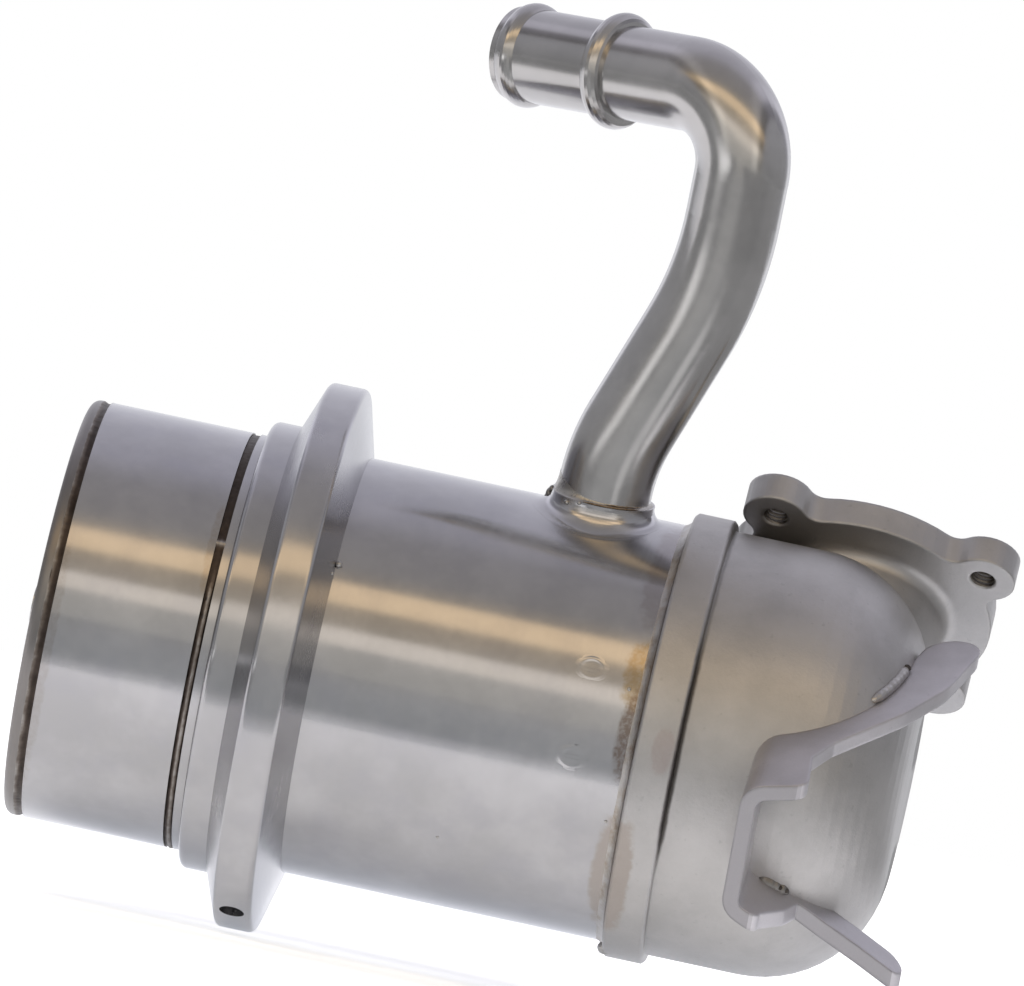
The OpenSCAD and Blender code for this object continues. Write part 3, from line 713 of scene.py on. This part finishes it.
# What shows of the copper, two thin lines at the front right: turns in degrees, radius, height, thickness
COPPER_LINES = (
    (-108, -38, PIPE_R + 0.62, NECK_TOP + 0.22, 0.16), (-84, -30, PIPE_R + 0.18, NECK_TOP + 0.55, 0.12))
LINE_STEPS = 60
bm = bmesh.new()
for from_turn, to_turn, rho, high, thick in COPPER_LINES:
    path, radii = [], []
    for k in range(LINE_STEPS + 1):
        turn = math.radians(from_turn + (to_turn - from_turn) * k / LINE_STEPS)
        uneven = rho + 0.06 * wave(k * 0.3, rho, 0.0)
        path.append(in_pipe_frame(uneven, turn, high + 0.05 * wave(k * 0.3, 0.0, rho)))
        radii.append(thick * (0.25 + 0.75 * smooth(min(k, LINE_STEPS - k), 0, 12)))
    add_tube(bm, path, radii, 8)
piece("braze_lines", bm, copper, "braze")



def add_foot_drops(bm, drops):
    """Drops on the pipe's foot: distance from its axis, turn round it, height and radius."""
    for rho, turn, high, size in drops:
        middle = in_pipe_frame(rho, math.radians(turn), high)
        add_ball(bm, middle, Vector(middle) - Vector(in_pipe_frame(0.0, 0.0, high)), size, 0.7, rho)


bm = bmesh.new()
add_foot_drops(bm, ((11.6, -128.0, NECK_TOP - 1.0, 0.55), (11.5, -112.0, NECK_TOP - 0.3, 0.4)))
piece("foot_spatter", bm, bright_bead, "weld")
bm = bmesh.new()
add_foot_drops(bm, ((11.7, 180.0, 47.7, 1.15), (11.35, 186.0, 48.9, 0.85), (12.3, 174.0, 46.6, 0.7)))
piece("foot_lump", bm, dull_bead, "weld")


# Bracket beads, in the bracket's turned frame
BRACKET_T = 3.5
BRACKET_TOP, BRACKET_HEIGHT = 25.9, 31.6
UPPER_RISE = math.radians(14.0)
LOWER_FALL, KNEE_FALL = math.radians(23.5), math.radians(33.0)
WEB_X = KNUCKLE_X - 4.0
KNEE_X = WEB_X + 16.0
FLAT_R = CAP_R - KNUCKLE_R


def in_bracket_frame(x, y, z):
    return (x, y * math.cos(BRACKET_TURN) - z * math.sin(BRACKET_TURN),
            y * math.sin(BRACKET_TURN) + z * math.cos(BRACKET_TURN))


def upper_face(x):
    return BRACKET_TOP + (x - WEB_X) * math.tan(UPPER_RISE)


def lower_face(x):
    return (BRACKET_TOP - BRACKET_HEIGHT + BRACKET_T - (min(x, KNEE_X) - WEB_X) * math.tan(LOWER_FALL)
            - max(0.0, x - KNEE_X) * math.tan(KNEE_FALL))


def cap_at(x):
    """Radius of the cap's outside."""
    if x < KNUCKLE_X:
        return CAP_R
    return FLAT_R + math.sqrt(max(0.0, KNUCKLE_R ** 2 - (x - KNUCKLE_X) ** 2))


def seat_x(y, rise):
    """Where a line at that rise over the upper arm meets the cap."""
    low, high = KNUCKLE_X, CAP_END
    for _ in range(24):
        x = (low + high) / 2
        if cap_at(x) ** 2 > y * y + (upper_face(x) + rise) ** 2:
            low = x
        else:
            high = x
    return low


BEAD_FROM, BEAD_TO = -24.6, -8.7
BEAD_LIFT = 0.6
BEAD_STEPS, LOWER_STEPS = 120, 60
path, radii = [], []
for i in range(BEAD_STEPS + 1):
    y = BEAD_FROM + (BEAD_TO - BEAD_FROM) * i / BEAD_STEPS
    x = seat_x(y, BEAD_LIFT)
    path.append(in_bracket_frame(x - 0.15, y, upper_face(x) + 0.5))
    end = min(i, BEAD_STEPS - i) / 22
    swell = 1.22 + 0.035 * math.sin(i * 0.5) + 0.14 * wave(y * 0.45, 2.0, 5.0)
    radii.append(swell * math.sqrt(min(1.0, 0.02 + end * (2.0 - min(end, 1.0)))) if end < 1.0 else swell)
bm = bmesh.new()
add_tube(bm, path, radii, 20)
piece("bracket_upper_bead", bm, bright_bead, "weld", "bracket_upper_weld")

LOWER_R, LOWER_LENGTH = 1.9, 7.0
from_x = WEB_X + BRACKET_T + 2.2


def lower_seat(x):
    z = lower_face(x)
    return Vector(in_bracket_frame(x, 0.5 - math.sqrt(cap_at(x) ** 2 - z ** 2), z + 0.2))


start, stop = lower_seat(from_x), lower_seat(from_x + LOWER_LENGTH)
path = [start.lerp(stop, i / LOWER_STEPS) for i in range(LOWER_STEPS + 1)]
radii = []
for i in range(LOWER_STEPS + 1):
    end = min(i, LOWER_STEPS - i) / 16
    swell = LOWER_R * (0.95 + 0.012 * math.sin(i * 0.6)) + 0.16 * wave(i * 0.12, 3.0, 1.0)
    radii.append(swell * (math.sqrt(0.12 + 0.88 * end * (2.0 - end)) if end < 1.0 else 1.0))
bm = bmesh.new()
add_tube(bm, path, radii, 24)
piece("bracket_lower_bead", bm, dull_bead, "weld", "bracket_lower_weld")

# Two dark pits at the lower bead's end and a crater at the upper one's, as flattened drops whose near-black
# colour is painted shade
bm = bmesh.new()
outward = Vector(in_bracket_frame(0.0, -0.8, 0.6)).normalized()
for share, size in ((0.74, 0.55), (0.95, 0.5)):
    add_ball(bm, start.lerp(stop, share) + outward * (LOWER_R - 0.15), outward, size, 0.45, share)
x = seat_x(BEAD_TO, BEAD_LIFT)
crater = Vector(in_bracket_frame(x + 0.2, BEAD_TO, upper_face(x) + 0.9))
add_ball(bm, crater, Vector((crater.x - KNUCKLE_X, crater.y, crater.z)), 0.8, 0.5, 1.0)
piece("bead_pits", bm, pit_shade, "weld")


# Threads in the four ears, from one chamfer to the other; their dark colour is painted shade inside the holes
OUTLET_TURN = math.radians(35.0)
SCREW_SPACING = 47.0
SCREW_R = SCREW_SPACING / math.sqrt(2.0)
SCREW_TURN = 8.4
THREAD_R, CORE_R, THREAD_PITCH = 2.66, 2.28, 1.0
THREAD_FROM, THREAD_TO = 44.8, 50.5
THREAD_STEPS = 28


def in_outlet_frame(x, y, z):
    return (OUTLET_X + x, y * math.cos(OUTLET_TURN) + z * math.sin(OUTLET_TURN),
            z * math.cos(OUTLET_TURN) - y * math.sin(OUTLET_TURN))


bm = bmesh.new()
for hole in range(4):
    spoke = math.radians(45.0 + 90.0 * hole + SCREW_TURN)
    cx, cy = SCREW_R * math.cos(spoke), SCREW_R * math.sin(spoke)
    steps = (THREAD_TO - THREAD_FROM) / THREAD_PITCH * THREAD_STEPS
    loops = []
    for i in range(int(steps) + 1):
        t = 2 * math.pi * i / THREAD_STEPS
        z = THREAD_FROM + THREAD_PITCH * i / THREAD_STEPS
        crest = THREAD_R - (THREAD_R - CORE_R) * smooth(min(i, steps - i), -2.0, 12.0)
        loops.append([in_outlet_frame(cx + r * math.cos(t), cy + r * math.sin(t), z + dz)
                      for r, dz in ((THREAD_R, -0.44), (crest, -0.07), (crest, 0.07), (THREAD_R, 0.44))])
    add_loops(bm, loops)
piece("ear_threads", bm, thread_shade, "cast_steel")

# Welds round the tube ends on the front header
TUBE_PITCH, TUBE_R = 12.0, 4.0
TUBE_STEPS = 36
bm = bmesh.new()
for row in range(-3, 4):
    for k in range(7 - abs(row)):
        ty = TUBE_PITCH * (k - 3 + abs(row) / 2)
        tz = TUBE_PITCH * row * math.sqrt(3.0) / 2
        loops = []
        for i in range(TUBE_STEPS):
            t = 2 * math.pi * i / TUBE_STEPS
            wide = 0.62 + 0.14 * wave(ty + math.cos(t) * 2, tz + math.sin(t) * 2, 0.5)
            tall = 0.42 + 0.12 * wave(ty - math.cos(t) * 2, tz + math.sin(t) * 2, 3.5)
            loops.append([(FRONT_LEFT - h, ty + r * math.cos(t), tz + r * math.sin(t)) for r, h in (
                (TUBE_R - 0.02, -0.1), (TUBE_R - 0.02, tall), (TUBE_R + wide * 0.45, tall * 0.8),
                (TUBE_R + wide * 0.8, tall * 0.35), (TUBE_R + wide, 0.0), (TUBE_R + wide, -0.1))])
        add_loops(bm, loops, ring=True)
piece("tube_end_welds", bm, bright_bead, "weld")


# Floor, light tent and lamps; the floor glows less round the part, so that its soft shadow shows there,
# and not right under it, where the shadow is deepest
FLOOR_GLOW, NEAR_DIP, UNDER_GLOW, FLOOR_SHEEN = 0.6, 0.3, 0.33, 0.38
NEAR_X, NEAR_Y = (45.0, 1100.0), (0.0, 1100.0)
UNDER_X, UNDER_Y = (5.0, 120.0), (0.0, 85.0)


def floor_look():
    """Matt white that stays white to the camera away from the shadow, and a pale grey in reflections."""
    t = Tree("floor_white")
    soft = t.noise(6.0, 2.0, 0.5)
    t.finish(t.mix(t.math("MULTIPLY", soft, 0.04), (0.9, 0.9, 0.9), (0.82, 0.82, 0.82)), 0.9, 0.0)
    ray = t.add("LightPath").outputs
    direct = t.math("MAXIMUM", ray["Is Camera Ray"], ray["Is Transmission Ray"])
    x, y, _ = t.axes()
    under = t.math("MULTIPLY", bell(t, x, *UNDER_X), bell(t, y, *UNDER_Y))
    near = t.math("MULTIPLY", bell(t, x, *NEAR_X), bell(t, y, *NEAR_Y))
    glow = t.math("ADD", t.math("MULTIPLY", under, UNDER_GLOW), FLOOR_GLOW)
    glow = t.math("SUBTRACT", glow, t.math("MULTIPLY", near, NEAR_DIP))
    sheen = t.math("MULTIPLY", ray["Is Glossy Ray"], FLOOR_SHEEN)
    seen = t.math("ADD", t.math("MULTIPLY", direct, glow), sheen)
    t.put(t.shader.inputs["Emission Color"], t.mix(ray["Is Glossy Ray"], (1.0, 1.0, 1.0), (0.86, 0.91, 1.0)))
    t.put(t.shader.inputs["Emission Strength"], seen)
    return t.mat


def stage_mesh(name, verts, faces, look):
    mesh = bpy.data.meshes.new(name)
    mesh.from_pydata(verts, [], faces)
    mesh.materials.append(look)
    made = bpy.data.objects.new(name, mesh)
    bpy.context.collection.objects.link(made)
    return made


FLOOR_Z = cad_box[0][2] - 0.001
FLOOR_HALF = 4.0
stage_mesh("floor", [(-FLOOR_HALF, -FLOOR_HALF, FLOOR_Z), (FLOOR_HALF, -FLOOR_HALF, FLOOR_Z),
                     (FLOOR_HALF, FLOOR_HALF, FLOOR_Z), (-FLOOR_HALF, FLOOR_HALF, FLOOR_Z)],
           [(0, 1, 2, 3)], floor_look())

# The tent is a tube of soft light round X, brighter and darker by its angle from the camera side
TENT_R = 1.3
TENT_HALF = 1.6
TENT_STEPS = 96
TENT_LEVELS = [
    (-180, (0.93, 0.94, 0.98)), (-37, (0.93, 0.94, 0.98)), (-27, (0.50, 0.53, 0.56)),
    (-8, (0.61, 0.60, 0.57)), (11, (0.70, 0.67, 0.62)), (13, (1.18, 1.08, 0.95)),
    (20, (1.18, 1.08, 0.95)), (22.5, (0.58, 0.51, 0.42)), (33, (0.58, 0.49, 0.38)),
    (35.5, (1.30, 1.0, 0.66)), (45, (1.30, 1.0, 0.66)), (48, (0.50, 0.44, 0.37)),
    (56, (0.40, 0.38, 0.37)), (80, (0.40, 0.385, 0.40)), (100, (0.58, 0.57, 0.65)),
    (118, (0.64, 0.635, 0.72)), (150, (0.80, 0.80, 0.89)), (180, (0.93, 0.94, 0.98))]
TENT_PEAK = 1.3
# Along X the tent has a bright upright strip on each side of the camera and is dim towards its ends
TENT_STRIPS = [(0.0, 1.0), (0.60, 1.0), (0.74, 1.3), (1.0, 1.3), (1.14, 0.6), (1.6, 0.45)]
TENT_TOP = 1.3
END_LEVEL = 0.32


def tent_look():
    t = Tree("tent_light")
    x, y, z = t.axes()
    turn = t.math("ARCTAN2", z, t.math("MULTIPLY", y, -1.0))
    place = t.math("ADD", t.math("DIVIDE", turn, 2.0 * math.pi), 0.5)
    level = t.ramp(place, [((a + 180.0) / 360.0, tuple(c / TENT_PEAK for c in colour))
                           for a, colour in TENT_LEVELS])
    along = t.remap(t.math("ABSOLUTE", x), 0.0, TENT_HALF, smooth=False)
    strip = t.ramp(along, [(far / TENT_HALF, (share / TENT_TOP,) * 3) for far, share in TENT_STRIPS])
    glow = t.add("Emission")
    t.put(glow.inputs["Color"], t.mix(1.0, level, strip, "MULTIPLY"))
    glow.inputs["Strength"].default_value = TENT_PEAK * TENT_TOP
    t.links.new(glow.outputs[0], t.nodes["Material Output"].inputs["Surface"])
    return t.mat


ring = [(TENT_R * math.cos(2 * math.pi * i / TENT_STEPS), TENT_R * math.sin(2 * math.pi * i / TENT_STEPS))
        for i in range(TENT_STEPS)]
tent = stage_mesh(
    "tent", [(side * TENT_HALF, y, z) for side in (-1, 1) for y, z in ring],
    [(i, (i + 1) % TENT_STEPS, TENT_STEPS + (i + 1) % TENT_STEPS, TENT_STEPS + i) for i in range(TENT_STEPS)],
    tent_look())
tent.visible_camera = False
tent.visible_shadow = False


def end_look():
    """Dim grey end of the tent, a little lighter towards its top."""
    t = Tree("tent_end")
    glow = t.add("Emission")
    t.put(glow.inputs["Color"], t.ramp(t.remap(t.axes()[2], -0.6, 1.2), [
        (0.0, (END_LEVEL,) * 3), (1.0, (END_LEVEL * 1.5, END_LEVEL * 1.5, END_LEVEL * 1.6))]))
    t.links.new(glow.outputs[0], t.nodes["Material Output"].inputs["Surface"])
    return t.mat


for side in (-1, 1):
    end_card = stage_mesh("tent_end_left" if side < 0 else "tent_end_right",
                          [(side * TENT_HALF, y, z) for y, z in ring], [tuple(range(TENT_STEPS))], end_look())
    end_card.visible_camera = False
    end_card.visible_shadow = False
    end_card.visible_diffuse = False

# Grey cards on the floor, in front and to the right, keep the cylinder's middle and the pipe's edges dark;
# two pale patches on the front one, given by X, Y, half sizes and level, show as streaks along the pipe
CARD_NEAR, CARD_FAR = -0.125, -1.25
CARD_PATCHES = [(-0.46, -0.66, 0.34, 0.42, 1.7), (0.19, -0.21, 0.05, 0.09, 1.0)]
CARD_COLOURS = [(0.0, (0.62, 0.60, 0.57)), (0.75, (0.55, 0.55, 0.55)), (0.97, (0.5, 0.51, 0.52)),
                (1.0, (0.9, 0.9, 0.92))]


def card_look():
    t = Tree("card_grey")
    x, y, _ = t.axes()
    colour = t.ramp(t.remap(y, CARD_FAR, CARD_NEAR, smooth=False), CARD_COLOURS)
    aside = t.remap(t.math("ABSOLUTE", t.math("SUBTRACT", x, 0.04)), 0.06, 0.22)
    colour = t.mix(t.math("MULTIPLY", aside, 0.9), colour, (0.34, 0.34, 0.345))
    for px, py, half_x, half_y, level in CARD_PATCHES:
        mask = t.math("MULTIPLY", bell(t, x, px / MM, half_x / MM), bell(t, y, py / MM, half_y / MM))
        colour = t.mix(t.remap(mask, 0.05, 0.6), colour, (level,) * 3)
    glow = t.add("Emission")
    t.put(glow.inputs["Color"], colour)
    t.links.new(glow.outputs[0], t.nodes["Material Output"].inputs["Surface"])
    return t.mat


CARD_Z = FLOOR_Z + 0.001
front_and_side = card_look()
for name, low, high in (("floor_card", (-1.5, CARD_FAR), (1.5, CARD_NEAR)),
                        ("side_card", (0.24, CARD_NEAR), (1.5, 0.9))):
    card = stage_mesh(name, [(low[0], low[1], CARD_Z), (high[0], low[1], CARD_Z), (high[0], high[1], CARD_Z),
                             (low[0], high[1], CARD_Z)], [(0, 1, 2, 3)], front_and_side)
    card.visible_camera = False
    card.visible_shadow = False
    card.visible_diffuse = False

# White world: the background that camera, glossy and transmitted rays meet, softer for diffuse light
world = bpy.data.worlds.new("world")
world.use_nodes = True
bpy.context.scene.world = world
wn, wl = world.node_tree.nodes, world.node_tree.links
background = wn["Background"]
background.inputs["Color"].default_value = (1.0, 1.0, 1.0, 1.0)
path = wn.new("ShaderNodeLightPath")
seen = wn.new("ShaderNodeMath")
seen.operation = "MAXIMUM"
wl.new(path.outputs["Is Camera Ray"], seen.inputs[0])
wl.new(path.outputs["Is Glossy Ray"], seen.inputs[1])
seen_too = wn.new("ShaderNodeMath")
seen_too.operation = "MAXIMUM"
wl.new(seen.outputs[0], seen_too.inputs[0])
wl.new(path.outputs["Is Transmission Ray"], seen_too.inputs[1])
strength = wn.new("ShaderNodeMapRange")
strength.inputs["To Min"].default_value = 0.6
strength.inputs["To Max"].default_value = 1.0
wl.new(seen_too.outputs[0], strength.inputs["Value"])
wl.new(strength.outputs[0], background.inputs["Strength"])


def lamp(name, place, size, watts, colour):
    data = bpy.data.lights.new(name, "AREA")
    data.shape = "RECTANGLE"
    data.size, data.size_y = size
    data.energy = watts
    data.color = colour
    made = bpy.data.objects.new(name, data)
    bpy.context.collection.objects.link(made)
    made.location = place
    made.rotation_mode = "QUATERNION"
    made.rotation_quaternion = (VIEW_CENTRE - Vector(place)).to_track_quat("-Z", "Y")
    made.visible_camera = False
    made.visible_glossy = False


lamp("key", (-0.5, -0.6, 0.9), (0.7, 0.7), 6.0, (1.0, 0.98, 0.95))
lamp("fill", (0.7, 0.5, 0.8), (0.8, 0.8), 3.0, (0.96, 0.97, 1.0))
